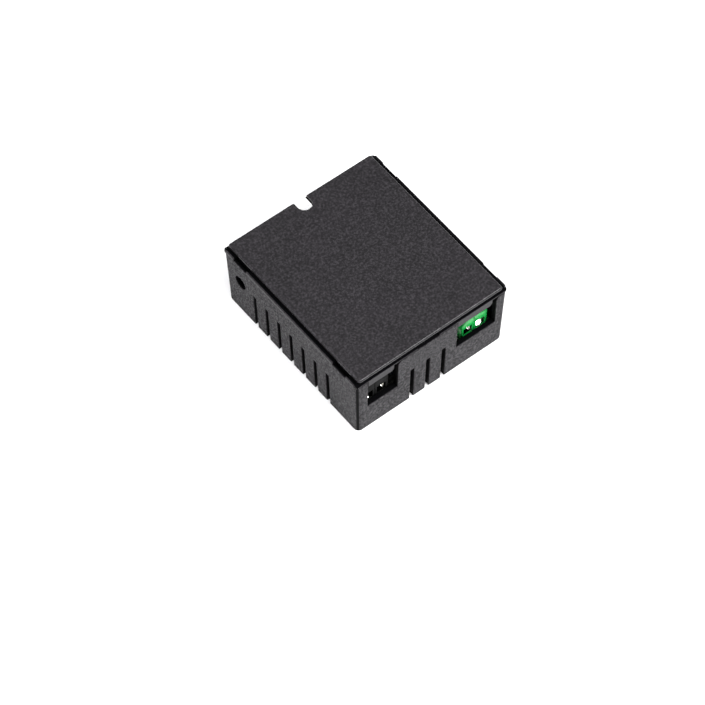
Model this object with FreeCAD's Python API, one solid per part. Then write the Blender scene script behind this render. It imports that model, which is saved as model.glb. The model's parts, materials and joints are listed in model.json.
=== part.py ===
import FreeCAD, Part
import math
import os

V = FreeCAD.Vector

# ---------------------------------------------------------------------------
# Boxed ultrasonic distance sensor.  Millimetres, +Z up.
# Origin: centre of the flat underside.  The wire windows face -Y and the two
# transducers look out along +Y.
# ---------------------------------------------------------------------------

# Case, overall
CASE_WIDTH = 60.0            # X, over the lid flange
CASE_LENGTH = 67.4           # Y, over the base at its rim
RIM_Z = 25.4                 # top of the base wall
FLANGE_THICK = 1.3           # lid flange
PLATE_THICK = 1.1            # lid plate on top of the flange
PLATE_SET_SIDE = 1.6         # plate edge behind the flange edge, long sides
PLATE_SET_END = 0.5          # the same at the front and the back
PLATE_EDGE_R = 0.7           # rounded top edge of the plate
LIP_WIDTH = 0.5              # raised lip along the flange's long edges
GROOVE_DEEP = 0.8            # groove round the plate, open at the front and the back
GROOVE_UNDER = 0.4           # how far the plate overhangs it at the front and the back
SIDE_LIP = 0.3               # flange stands out past the long walls
END_STEP = 0.2               # flange stands back from the end walls
CORNER_R = 1.8               # upright corners of the base
LID_CORNER_R = 1.3
PLATE_CORNER_R = 0.9
WALL = 2.0
FLOOR = 2.0
DRAFT = 0.028                # walls lean in towards the bottom, mm per mm
FOOT_EDGE_R = 0.5            # rounded edge of the underside
SEAM_GAP = 0.5               # shadow line under the flange on the long sides
SEAM_DEEP = 0.8
INNER_CORNER_R = 0.4

# Vent slots, open through the bottom edge
SLOT_WIDTH = 1.6
SLOT_UNDER = 4.2             # how far a slot runs in under the case
SIDE_SLOTS = 7
SIDE_SLOT_PITCH = 6.12
SIDE_SLOT_TOP = 16.0
FRONT_SLOTS = 3
FRONT_SLOT_PITCH = 6.2
FRONT_SLOT_X = -1.5          # middle slot
FRONT_SLOT_TOP = 16.3

# Screw terminals, and the wire windows in front of them
PITCH = 5.08
WAYS = {"power": 2, "signal": 2}
WINDOW_EXTRA = {"power": 1.64, "signal": 5.44}    # window width beyond its ways
TERMINAL_SHIFT = {"power": -1.0, "signal": 1.4}   # terminal middle from window middle
POWER_WINDOW_EDGE = 4.4      # left window to the case side
SIGNAL_WINDOW_EDGE = 4.3     # right window to the case side
SILL_OVER_BOARD = 3.3
WINDOW_SHOULDER_R = 2.0      # rounded wall top at the right side of a window
TAB_DEEP = 2.5               # lid tabs that close the top of the windows
TAB_THICK = 1.6
TAB_GAP_LEFT = 0.25
TAB_GAP_RIGHT = 1.6
TAB_CHAMFER = 0.9

# Hole in the left wall, over the push button
BUTTON_HOLE_R = 2.6
BUTTON_FROM_BACK = 7.83      # hole to the back wall face
BUTTON_Z = 15.9

# Cable exit at the back: U-notch in the lid, wider cut in the wall
NOTCH_WIDTH = 5.2
NOTCH_DEEP = 5.0
EXIT_WIDTH = 11.0
EXIT_DEEP = 7.9              # below the rim
EXIT_LID_GAP = 1.0           # lid skirt to the exit, each side

# Clip-on lid: open notches on the left, two shallow dips on the right
SKIRT_THICK = 1.2
SKIRT_DEEP = 3.6
LID_CLEAR = 0.25             # skirt to inner wall, tab to window
SNAP_LENGTH = 6.6
SNAP_Y = 24.9
SNAP_NOTCH_DEEP = 1.9
SNAP_DIP = 0.3
SNAP_NIB = 0.7
SNAP_NIB_INSET = 0.4         # nib above the skirt's lower edge
SNAP_NIB_DROP = 1.0          # nib below the rim
SNAP_GROOVE_DEEP = 1.1
FRONT_SNAP_LENGTH = 8.4
NOTCH_ROOF = 0.15            # flange left over an undercut notch
JOIN = 0.5                   # how far joined blocks run into each other

# Main board
BOARD_THICK = 1.6
BOARD_TOP_Z = 8.6
BOARD_WALL_GAP = 0.48        # board edge to the inner wall
BOARD_CARRIER_GAP = 1.4
BOSS_R = 3.0
BOSS_INSET_X = 3.1           # screw to the board's side edge
BOSS_INSET_FRONT = 12.0
BOSS_INSET_BACK = 4.0
SCREW_R = 1.0                # board screw shank
SCREW_HEAD_R = 2.0
SCREW_HEAD_H = 1.3
SCREW_LONG = 5.6
SCREW_CLEAR = 0.05
CROSS_WIDTH = 0.5
CROSS_SHARE = 0.55           # reach of the cross slots in the head
HOLE_CLEAR = 0.25            # screw in its board hole

# Upright carrier board behind the main board
CARRIER_WALL_GAP = 1.45
CARRIER_THICK = 1.6
CARRIER_LID_GAP = 2.4        # board top below the rim
CARRIER_FOOT_GAP = 0.2
GUIDE_CLEAR = 0.1
GUIDE_TOP = 10.0
GUIDE_GRIP = 1.4             # how far a guide reaches over the board
GUIDE_WALL = 1.0

# Transducers
SENSOR_MIDDLE_GAP = 4.6      # grommet to the middle of the case
SENSOR_FLOOR_GAP = 0.7       # grommet to the floor
CAN_R = 8.0
CAN_LONG = 11.4
CAN_FOOT_GAP = 0.3
CAN_WALL = 0.45
CAN_LIP = 1.3
CAN_FRONT_THICK = 0.6
GROMMET_WALL = 0.8
GROMMET_FLANGE = 1.0
GROMMET_FLANGE_THICK = 1.2
SENSOR_CLEAR = 0.05
SENSOR_RECESS = 0.4          # can face behind the wall face
SLEEVE_INSIDE = 2.0          # grommet sleeve behind the wall
MESH_THICK = 0.3
MESH_STEP = 1.1
MESH_HOLE = 0.76
MESH_BORDER = 0.6
SENSOR_PIN_R = 0.4
SENSOR_PIN_CLEAR = 0.02
SENSOR_PIN_X = 5.0
SENSOR_PIN_FRONT = 1.4       # pin in front of the carrier board
SENSOR_PIN_BACK = 3.4
BASE_DISC_THICK = 2.2
POST_R = 1.6
POST_LONG = 5.0
PIEZO_R = 5.2
PIEZO_THICK = 0.7
HORN_R = 4.6
HORN_FOOT_R = 1.0
HORN_WALL = 0.2
HORN_FLOOR = 0.45
HORN_MESH_GAP = 0.6

# Screw terminals
TERM_DEEP = 7.8
TERM_SIDE = 0.1              # housing beyond its ways, each side
TERM_BACK_DROP = 2.2         # slope at the housing's back
TERM_BACK_IN = 0.9
WAY_GROOVE = 0.4             # line between two ways
WAY_GROOVE_DEEP = 0.35
TERM_HIGH = 9.1
TERM_EDGE = 0.5
TERM_FRONT_WALL = 0.6
CAVITY_HALF = 2.0
CAVITY_DEEP = 5.3
CAVITY_FLOOR = 0.8
CAVITY_TOP = 7.75
ENTRY_HALF = 1.75
ENTRY_LOW = 1.8
ENTRY_HIGH = 5.6
CAGE_HALF = 1.85
CAGE_LONG = 4.2
CAGE_LOW = 1.0
CAGE_HIGH = 6.1
CAGE_JAW = 1.4               # thickness of the lower jaw
CAGE_LEAD_IN = 1.2           # slope at the front of the lower jaw
CAGE_WALL = 0.4
CAGE_ROOF = 0.9
CAGE_GAP = 0.1               # cage to the front wall of its cavity
CAGE_LEG_GAP = 0.15          # cage to the contact leg
CAGE_TRAVEL = 1.5
CAGE_HEAD_GAP = 0.2          # raised cage to the screw head
DRIVER_SLOT = 0.6
DRIVER_SLOT_DEEP = 0.7
TIP_GAP = 0.15               # screw tip to the contact
CLAMP_SCREW_R = 1.25
CLAMP_HEAD_R = 1.8
CLAMP_HEAD_H = 1.2
CLAMP_HEAD_CLEAR = 0.1
THREAD_CLEAR = 0.05
CONTACT_HALF = 1.0
CONTACT_Z = 4.75
CONTACT_THICK = 0.4
LEG_HALF = 0.5
LEG_BELOW = 1.8              # contact leg under the board

# Push switch on the carrier board
SWITCH_WALL_GAP = 1.23       # switch body to inner wall
SWITCH_THICK = 2.9
BUTTON_SUNK = 1.2
SWITCH_HALF_Y = 3.0
SWITCH_HALF_Z = 3.4
BUTTON_R = 1.5
BUTTON_WALL_GAP = 0.2        # button tip to inner wall
BUTTON_TRAVEL = 0.25
BUTTON_CLEAR = 0.05

CLEAR = 0.05                 # loose seats of pins and small rotors


def box(x0, x1, y0, y1, z0, z1):
    return Part.makeBox(x1 - x0, y1 - y0, z1 - z0, V(x0, y0, z0))


def rod(x, y, z, r, h, axis=V(0, 0, 1)):
    return Part.makeCylinder(r, h, V(x, y, z), axis)


def rounded_wire(width, length, r, z):
    """Rounded rectangle about the Z axis."""
    a = width / 2 - r
    b = length / 2 - r
    edges = []
    corners = [(a, b, 0), (-a, b, 90), (-a, -b, 180), (a, -b, 270)]
    for i, (cx, cy, turn) in enumerate(corners):
        circle = Part.Circle(V(cx, cy, z), V(0, 0, 1), r)
        start = math.radians(turn)
        edges.append(Part.Arc(circle, start, start + math.pi / 2).toShape())
        nx, ny, after = corners[(i + 1) % 4]
        end = start + math.pi / 2
        p = V(cx + r * math.cos(end), cy + r * math.sin(end), z)
        q = V(nx + r * math.cos(end), ny + r * math.sin(end), z)
        edges.append(Part.LineSegment(p, q).toShape())
    return Part.Wire(edges)


def rounded_block(width, length, r, z0, z1):
    face = Part.Face(rounded_wire(width, length, r, z0))
    return face.extrude(V(0, 0, z1 - z0))


def tapered_block(width, length, r, z0, z1, z_full):
    """Block whose walls lean in below z_full, where it has the given size."""
    wires = []
    for z in (z0, z1):
        lean = 2 * DRAFT * (z_full - z)
        wires.append(rounded_wire(width - lean, length - lean, r, z))
    return Part.makeLoft(wires, True, True)


def prism(points, along, axis):
    """Extrude a flat outline of 3-D points."""
    loop = [V(*p) for p in points]
    wire = Part.makePolygon(loop + [loop[0]])
    return Part.Face(wire).extrude(axis * along)


def cut_all(shape, tools):
    return shape.cut(Part.makeCompound(tools)).removeSplitter()


def save(node, *solids):
    """Write one node; its solids stay separate."""
    flat = [s for shape in solids for s in shape.Solids]
    for s in flat:
        if not s.isValid() or s.Volume <= 0:
            raise ValueError("bad solid in " + node)
    whole = flat[0] if len(flat) == 1 else Part.makeCompound(flat)
    whole.exportStep(os.path.join("parts", node + ".step"))


# ---------------------------------------------------------------------------
# Sizes that follow from the ones above
# ---------------------------------------------------------------------------
FLANGE_TOP = RIM_Z + FLANGE_THICK
TOP_Z = FLANGE_TOP + PLATE_THICK
BASE_WIDTH = CASE_WIDTH - 2 * SIDE_LIP
BASE_LENGTH = CASE_LENGTH
FLANGE_LENGTH = CASE_LENGTH - 2 * END_STEP
FAR = CASE_WIDTH + CASE_LENGTH            # longer than any cut needs
BOARD_BOTTOM_Z = BOARD_TOP_Z - BOARD_THICK
WINDOW_SILL = BOARD_TOP_Z + SILL_OVER_BOARD
TAB_BOTTOM = RIM_Z - TAB_DEEP
EXIT_BOTTOM = RIM_Z - EXIT_DEEP
GROMMET_R = CAN_R + GROMMET_WALL
GROMMET_FLANGE_R = GROMMET_R + GROMMET_FLANGE
SENSOR_X = GROMMET_FLANGE_R + SENSOR_MIDDLE_GAP
SENSOR_Z = FLOOR + GROMMET_FLANGE_R + SENSOR_FLOOR_GAP
CARRIER_TOP = RIM_Z - CARRIER_LID_GAP


def wall_x(z):
    """Outer face of a long wall at height z."""
    return BASE_WIDTH / 2 - DRAFT * (RIM_Z - z)


def wall_y(z):
    """Outer face of an end wall at height z."""
    return BASE_LENGTH / 2 - DRAFT * (RIM_Z - z)


SENSOR_FACE_Y = wall_y(SENSOR_Z - CAN_R) - SENSOR_RECESS
BUTTON_Y = wall_y(BUTTON_Z) - BUTTON_FROM_BACK
CARRIER_BACK = SENSOR_FACE_Y - CAN_LONG - CAN_FOOT_GAP
CARRIER_Y = CARRIER_BACK - CARRIER_THICK
CARRIER_HALF = wall_x(FLOOR) - WALL - CARRIER_WALL_GAP
BOARD_HALF = wall_x(BOARD_BOTTOM_Z) - WALL - BOARD_WALL_GAP
BOARD_FRONT_Y = BOARD_WALL_GAP + WALL - wall_y(BOARD_BOTTOM_Z)
BOARD_BACK_Y = CARRIER_Y - BOARD_CARRIER_GAP
BOSS_X = BOARD_HALF - BOSS_INSET_X
BOSSES = [(x, y) for x in (-BOSS_X, BOSS_X)
          for y in (BOARD_FRONT_Y + BOSS_INSET_FRONT, BOARD_BACK_Y - BOSS_INSET_BACK)]


def windows():
    """Name, left edge and right edge of each wire window."""
    power = POWER_WINDOW_EDGE - BASE_WIDTH / 2
    signal = BASE_WIDTH / 2 - SIGNAL_WINDOW_EDGE
    wide = {name: WAYS[name] * PITCH + WINDOW_EXTRA[name] for name in WAYS}
    return [("power", power, power + wide["power"]), ("signal", signal - wide["signal"], signal)]


def terminals():
    """Name, number of ways and middle of each terminal."""
    return [(name, WAYS[name], (left + right) / 2 + TERMINAL_SHIFT[name]) for name, left, right in windows()]


# ---------------------------------------------------------------------------
# Case
# ---------------------------------------------------------------------------
def window_cut(left, right):
    """Window open at the top, with the wall's shoulder rounded on its right."""
    r = WINDOW_SHOULDER_R
    y = -wall_y(RIM_Z) - 1
    top = RIM_Z + 1
    centre = V(right + r, y, RIM_Z - r)
    mid = centre + V(-r * math.cos(math.pi / 4), 0, r * math.sin(math.pi / 4))
    shoulder = Part.Arc(V(right, y, RIM_Z - r), mid, V(right + r, y, RIM_Z)).toShape()
    path = [V(right + r, y, RIM_Z), V(right + r, y, top), V(left, y, top), V(left, y, WINDOW_SILL),
            V(right, y, WINDOW_SILL), V(right, y, RIM_Z - r)]
    lines = [Part.LineSegment(p, q).toShape() for p, q in zip(path, path[1:])]
    wire = Part.Wire(lines + [shoulder])
    return Part.Face(wire).extrude(V(0, WALL + 3, 0))


def slot_positions(count, pitch, middle=0.0):
    return [middle + pitch * (i - (count - 1) / 2) for i in range(count)]


def vent_cuts():
    cuts = []
    half = SLOT_WIDTH / 2
    deep = max(SLOT_UNDER, WALL + DRAFT * RIM_Z)
    for x in slot_positions(FRONT_SLOTS, FRONT_SLOT_PITCH, FRONT_SLOT_X):
        cuts.append(box(x - half, x + half, -FAR, deep - wall_y(0), -1, FRONT_SLOT_TOP))
    for y in slot_positions(SIDE_SLOTS, SIDE_SLOT_PITCH):
        cuts.append(box(-FAR, deep - wall_x(0), y - half, y + half, -1, SIDE_SLOT_TOP))
        cuts.append(box(wall_x(0) - deep, FAR, y - half, y + half, -1, SIDE_SLOT_TOP))
    return cuts


def snap_places():
    return [(side, y) for side in (-1, 1) for y in (-SNAP_Y, SNAP_Y)]


def base_shell():
    outer = tapered_block(BASE_WIDTH, BASE_LENGTH, CORNER_R, 0, RIM_Z, RIM_Z)
    foot = [e for e in outer.Edges if e.BoundBox.ZMax < 0.01]
    outer = outer.makeFillet(FOOT_EDGE_R, foot)
    room = 2 * WALL
    inner = tapered_block(BASE_WIDTH - room, BASE_LENGTH - room, INNER_CORNER_R, FLOOR, RIM_Z + 1, RIM_Z)
    shell = outer.cut(inner)
    adds = []
    for x, y in BOSSES:
        adds.append(rod(x, y, FLOOR / 2, BOSS_R, BOARD_BOTTOM_Z - FLOOR / 2))
    for side in (-1, 1):
        xs = sorted((side * (CARRIER_HALF - GUIDE_GRIP), side * (wall_x(GUIDE_TOP) - WALL / 2)))
        y0 = CARRIER_Y - GUIDE_CLEAR - GUIDE_WALL
        y1 = CARRIER_BACK + GUIDE_CLEAR + GUIDE_WALL
        adds.append(box(xs[0], xs[1], y0, y1, FLOOR / 2, GUIDE_TOP))
    shell = shell.fuse(adds)
    keep = tapered_block(BASE_WIDTH, BASE_LENGTH, CORNER_R, 0, RIM_Z, RIM_Z)
    shell = shell.common(keep)
    cuts = vent_cuts()
    for name, left, right in windows():
        cuts.append(window_cut(left, right))
    cuts.append(rod(-FAR, BUTTON_Y, BUTTON_Z, BUTTON_HOLE_R, FAR - wall_x(BUTTON_Z) + WALL + 1, V(1, 0, 0)))
    for x in (-SENSOR_X, SENSOR_X):
        cuts.append(rod(x, wall_y(SENSOR_Z) - WALL - 1, SENSOR_Z, GROMMET_R, FAR, V(0, 1, 0)))
    cuts.append(box(-EXIT_WIDTH / 2, EXIT_WIDTH / 2, wall_y(0) - WALL - 1, FAR, EXIT_BOTTOM, RIM_Z + 1))
    for x, y in BOSSES:
        cuts.append(rod(x, y, FLOOR, SCREW_R + SCREW_CLEAR, FAR))
    slot_half = CARRIER_THICK / 2 + GUIDE_CLEAR
    mid = CARRIER_Y + CARRIER_THICK / 2
    reach = CARRIER_HALF + GUIDE_CLEAR
    cuts.append(box(-reach, reach, mid - slot_half, mid + slot_half, FLOOR, RIM_Z))
    for side, y in snap_places():
        xs = sorted((side * (wall_x(RIM_Z) - WALL - 1), side * (wall_x(RIM_Z) - WALL + SNAP_GROOVE_DEEP)))
        half = SNAP_LENGTH / 2
        cuts.append(box(xs[0], xs[1], y - half, y + half, RIM_Z - SKIRT_DEEP - LID_CLEAR, RIM_Z + 1))
    for side in (-1, 1):
        xs = sorted((side * (wall_x(RIM_Z) - SEAM_DEEP), side * FAR))
        reach = BASE_LENGTH / 2 - CORNER_R
        cuts.append(box(xs[0], xs[1], -reach, reach, RIM_Z - SEAM_GAP, RIM_Z + 1))
    return cut_all(shell, cuts)


def tab(left, right):
    """Tongue under the flange that closes the top of a window."""
    y = -FLANGE_LENGTH / 2
    x0 = left + TAB_GAP_LEFT
    x1 = right - TAB_GAP_RIGHT
    c = TAB_CHAMFER
    outline = [(x0, y, TAB_BOTTOM), (x1 - c, y, TAB_BOTTOM), (x1, y, TAB_BOTTOM + c),
               (x1, y, RIM_Z + JOIN), (x0, y, RIM_Z + JOIN)]
    return prism(outline, TAB_THICK, V(0, 1, 0))


def lid():
    plate_edge_x = CASE_WIDTH / 2 - PLATE_SET_SIDE
    plate_edge_y = FLANGE_LENGTH / 2 - PLATE_SET_END
    plate = rounded_block(2 * plate_edge_x, 2 * plate_edge_y, PLATE_CORNER_R, FLANGE_TOP, TOP_Z)
    rim = [e for e in plate.Edges if e.BoundBox.ZMin > TOP_Z - 0.01]
    plate = plate.makeFillet(PLATE_EDGE_R, rim)
    flange = rounded_block(CASE_WIDTH, FLANGE_LENGTH, LID_CORNER_R, RIM_Z, FLANGE_TOP)
    groove_z = FLANGE_TOP - GROOVE_DEEP
    lip = CASE_WIDTH / 2 - LIP_WIDTH
    under = rounded_block(2 * plate_edge_x, 2 * (plate_edge_y - GROOVE_UNDER), PLATE_CORNER_R, groove_z, TOP_Z)
    lip_end = FLANGE_LENGTH / 2 - LID_CORNER_R
    groove = box(-lip, lip, -FAR, FAR, groove_z, TOP_Z)
    groove = groove.fuse([box(-FAR, FAR, y, y + FAR, groove_z, TOP_Z) for y in (lip_end, -lip_end - FAR)])
    flange = flange.cut(groove.cut(under))
    z0 = RIM_Z - SKIRT_DEEP
    gap = WALL + LID_CLEAR + DRAFT * SKIRT_DEEP
    wide = BASE_WIDTH - 2 * gap
    long = BASE_LENGTH - 2 * gap
    skirt = rounded_block(wide, long, SKIRT_THICK / 2, z0, RIM_Z + JOIN)
    hollow = rounded_block(wide - 2 * SKIRT_THICK, long - 2 * SKIRT_THICK, INNER_CORNER_R, z0 - 1, RIM_Z)
    skirt = skirt.cut(hollow)
    inside = long / 2 - SKIRT_THICK - JOIN
    gaps = [box(left - LID_CLEAR, right + WINDOW_SHOULDER_R, -FAR, -inside, z0 - 1, RIM_Z)
            for _, left, right in windows()]
    exit_half = EXIT_WIDTH / 2 + EXIT_LID_GAP
    gaps.append(box(-exit_half, exit_half, inside, FAR, z0 - 1, RIM_Z))
    for x in (-SENSOR_X, SENSOR_X):
        gaps.append(rod(x, inside, SENSOR_Z, GROMMET_FLANGE_R + LID_CLEAR, FAR, V(0, 1, 0)))
    parts = [flange, cut_all(skirt, gaps)]
    for name, left, right in windows():
        parts.append(tab(left, right))
    for side, y in snap_places():
        xs = sorted((side * (wide / 2 - SKIRT_THICK / 2), side * (wide / 2 + SNAP_NIB)))
        half = SNAP_LENGTH / 2 - LID_CLEAR
        parts.append(box(xs[0], xs[1], y - half, y + half, z0 + SNAP_NIB_INSET, RIM_Z - SNAP_NIB_DROP))
    body = plate.fuse(parts)
    cuts = []
    half = SNAP_LENGTH / 2
    for side, y in snap_places():
        if side > 0:
            cuts.append(box(CASE_WIDTH / 2 - SNAP_DIP, FAR, y - half, y + half, RIM_Z - 1, TOP_Z))
            continue
        under = SNAP_NOTCH_DEEP - CASE_WIDTH / 2
        cuts.append(box(-FAR, under, y - half, y + half, RIM_Z, FLANGE_TOP - NOTCH_ROOF))
        cuts.append(box(-FAR, -plate_edge_x, y - half, y + half, RIM_Z, TOP_Z))
    half = FRONT_SNAP_LENGTH / 2
    for deep, top in ((SNAP_NOTCH_DEEP, FLANGE_TOP - NOTCH_ROOF), (PLATE_SET_END, TOP_Z)):
        cuts.append(box(FRONT_SLOT_X - half, FRONT_SLOT_X + half, -FAR, deep - FLANGE_LENGTH / 2, RIM_Z, top))
    notch_r = NOTCH_WIDTH / 2
    notch_y = plate_edge_y - NOTCH_DEEP + notch_r
    cuts.append(rod(0, notch_y, z0, notch_r, FAR))
    cuts.append(box(-notch_r, notch_r, notch_y, FAR, z0, FAR))
    return cut_all(body, cuts)


# ---------------------------------------------------------------------------
# Boards
# ---------------------------------------------------------------------------
HEADER_PINS = 4
HEADER_PITCH = 2.54
HEADER_PIN = 0.64
HEADER_Y = CARRIER_Y - 2.9   # posts in front of the carrier board
HEADER_LIFT = 1.27           # pins over the main board
HEADER_Z = BOARD_TOP_Z + HEADER_LIFT
HEADER_BLOCK_FRONT = 0.4     # block behind the posts
HEADER_BLOCK_BACK = 2.6
HEADER_BLOCK_HIGH = 2.5
HEADER_BELOW = 1.2           # post under the board
HEADER_THROUGH = 0.8         # pin behind the carrier board


def way_places(ways, middle):
    return [middle + PITCH * (i - (ways - 1) / 2) for i in range(ways)]


def header_places():
    return slot_positions(HEADER_PINS, HEADER_PITCH)


CAGE_Y = BOARD_FRONT_Y + TERM_FRONT_WALL + CAGE_GAP + CAGE_LONG / 2
LEG_Y = CAGE_Y + CAGE_LONG / 2 + CAGE_LEG_GAP
LEG_HOLE_R = 0.65


def main_board():
    plate = box(-BOARD_HALF, BOARD_HALF, BOARD_FRONT_Y, BOARD_BACK_Y, BOARD_BOTTOM_Z, BOARD_TOP_Z)
    cuts = [rod(x, y, 0, SCREW_R + HOLE_CLEAR, FAR) for x, y in BOSSES]
    for name, ways, middle in terminals():
        for x in way_places(ways, middle):
            cuts.append(rod(x, LEG_Y + CONTACT_THICK / 2, 0, LEG_HOLE_R, FAR))
    for x in header_places():
        cuts.append(rod(x, HEADER_Y, 0, HEADER_PIN, FAR))
    return cut_all(plate, cuts)


def board_screws():
    made = []
    arm = SCREW_HEAD_R * CROSS_SHARE
    half = CROSS_WIDTH / 2
    z0 = BOARD_TOP_Z + SCREW_HEAD_H / 2
    for x, y in BOSSES:
        head = rod(x, y, BOARD_TOP_Z, SCREW_HEAD_R, SCREW_HEAD_H)
        top = [e for e in head.Edges if e.BoundBox.ZMin > BOARD_TOP_Z + SCREW_HEAD_H - 0.01]
        head = head.makeFillet(SCREW_HEAD_H / 2, top)
        shank = rod(x, y, BOARD_TOP_Z - SCREW_LONG, SCREW_R, SCREW_LONG)
        cross = [box(x - arm, x + arm, y - half, y + half, z0, FAR),
                 box(x - half, x + half, y - arm, y + arm, z0, FAR)]
        made.append(cut_all(head.fuse(shank), cross))
    return made


def carrier_board():
    plate = box(-CARRIER_HALF, CARRIER_HALF, CARRIER_Y, CARRIER_BACK, FLOOR + CARRIER_FOOT_GAP, CARRIER_TOP)
    cuts = []
    for sx in (-SENSOR_X, SENSOR_X):
        for dx in (-SENSOR_PIN_X, SENSOR_PIN_X):
            cuts.append(rod(sx + dx, 0, SENSOR_Z, SENSOR_PIN_R + CLEAR, FAR, V(0, 1, 0)))
    for x in header_places():
        cuts.append(rod(x, 0, HEADER_Z, HEADER_PIN, FAR, V(0, 1, 0)))
    return cut_all(plate, cuts)


def header_block():
    wide = HEADER_PINS * HEADER_PITCH
    block = box(-wide / 2, wide / 2, HEADER_Y + HEADER_BLOCK_FRONT, HEADER_Y + HEADER_BLOCK_BACK,
                BOARD_TOP_Z, BOARD_TOP_Z + HEADER_BLOCK_HIGH)
    grow = HEADER_PIN / 2 + CLEAR
    holes = [box(x - grow, x + grow, 0, FAR, HEADER_Z - grow, HEADER_Z + grow) for x in header_places()]
    return cut_all(block, holes)


def header_pins():
    made = []
    h = HEADER_PIN / 2
    for x in header_places():
        post = box(x - h, x + h, HEADER_Y - h, HEADER_Y + h, BOARD_BOTTOM_Z - HEADER_BELOW, HEADER_Z + h)
        arm = box(x - h, x + h, HEADER_Y - h, CARRIER_BACK + HEADER_THROUGH, HEADER_Z - h, HEADER_Z + h)
        made.append(post.fuse(arm).removeSplitter())
    return made


# ---------------------------------------------------------------------------
# Transducers, built about X = 0 and then moved to their places
# ---------------------------------------------------------------------------
def ring_y(y0, y1, r_out, r_in):
    """Ring about the transducer axis, from y0 to y1."""
    ring = rod(0, y0, SENSOR_Z, r_out, y1 - y0, V(0, 1, 0))
    return ring.cut(rod(0, y0 - 1, SENSOR_Z, r_in, y1 - y0 + 2, V(0, 1, 0)))


def sensor_can():
    tube = ring_y(SENSOR_FACE_Y - CAN_LONG, SENSOR_FACE_Y, CAN_R, CAN_R - CAN_WALL)
    lip = ring_y(SENSOR_FACE_Y - CAN_FRONT_THICK, SENSOR_FACE_Y, CAN_R - CAN_WALL / 2, CAN_R - CAN_LIP)
    can = tube.fuse(lip).removeSplitter()
    edge = [e for e in can.Edges
            if e.BoundBox.YMin > SENSOR_FACE_Y - 0.01 and e.BoundBox.XLength > 2 * CAN_R - 0.1]
    return can.makeFillet(CAN_WALL * 0.8, edge)


def sensor_mesh():
    y1 = SENSOR_FACE_Y - CAN_FRONT_THICK
    r = CAN_R - CAN_WALL - CLEAR
    disc = rod(0, y1 - MESH_THICK, SENSOR_Z, r, MESH_THICK, V(0, 1, 0))
    holes = []
    h = MESH_HOLE / 2
    count = int(r / MESH_STEP)
    for i in range(-count, count + 1):
        for j in range(-count, count + 1):
            x = i * MESH_STEP
            z = j * MESH_STEP
            if math.hypot(x, z) < CAN_R - CAN_LIP - MESH_BORDER:
                holes.append(box(x - h, x + h, y1 - 1, y1 + 1, SENSOR_Z + z - h, SENSOR_Z + z + h))
    return disc.cut(Part.makeCompound(holes))


def sensor_base():
    y0 = CARRIER_BACK
    r = CAN_R - CAN_WALL - SENSOR_CLEAR
    disc = rod(0, y0, SENSOR_Z, r, BASE_DISC_THICK, V(0, 1, 0))
    post = rod(0, y0, SENSOR_Z, POST_R, POST_LONG, V(0, 1, 0))
    body = disc.fuse(post)
    holes = [rod(dx, y0 - 1, SENSOR_Z, SENSOR_PIN_R, FAR, V(0, 1, 0)) for dx in (-SENSOR_PIN_X, SENSOR_PIN_X)]
    return cut_all(body, holes)


def sensor_pins():
    y0 = CARRIER_Y - SENSOR_PIN_FRONT
    long = CARRIER_BACK + SENSOR_PIN_BACK - y0
    r = SENSOR_PIN_R - SENSOR_PIN_CLEAR
    return [rod(dx, y0, SENSOR_Z, r, long, V(0, 1, 0)) for dx in (-SENSOR_PIN_X, SENSOR_PIN_X)]


def sensor_cone():
    """Piezo disc with the resonator cone on it."""
    y0 = CARRIER_BACK + POST_LONG
    disc = rod(0, y0, SENSOR_Z, PIEZO_R, PIEZO_THICK, V(0, 1, 0))
    y1 = y0 + PIEZO_THICK
    high = SENSOR_FACE_Y - CAN_FRONT_THICK - MESH_THICK - HORN_MESH_GAP - y1
    horn = Part.makeCone(HORN_FOOT_R, HORN_R, high, V(0, y1, SENSOR_Z), V(0, 1, 0))
    foot = V(0, y1 + HORN_FLOOR, SENSOR_Z)
    bowl = Part.makeCone(HORN_FOOT_R - 3 * HORN_WALL, HORN_R - HORN_WALL, high - HORN_FLOOR, foot, V(0, 1, 0))
    return disc.fuse(horn.cut(bowl)).removeSplitter()


def sensor_grommet():
    y_in = wall_y(SENSOR_Z) - WALL
    r_in = CAN_R + SENSOR_CLEAR
    sleeve = ring_y(y_in - SLEEVE_INSIDE, SENSOR_FACE_Y, GROMMET_R - SENSOR_CLEAR, r_in)
    y_flange = wall_y(SENSOR_Z - GROMMET_FLANGE_R) - WALL - 2 * SENSOR_CLEAR
    flange = ring_y(y_flange - GROMMET_FLANGE_THICK, y_flange, GROMMET_FLANGE_R - SENSOR_CLEAR, r_in)
    return sleeve.fuse(flange).removeSplitter()


def shifted(shape, x):
    copy = shape.copy()
    copy.translate(V(x, 0, 0))
    return copy


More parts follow.
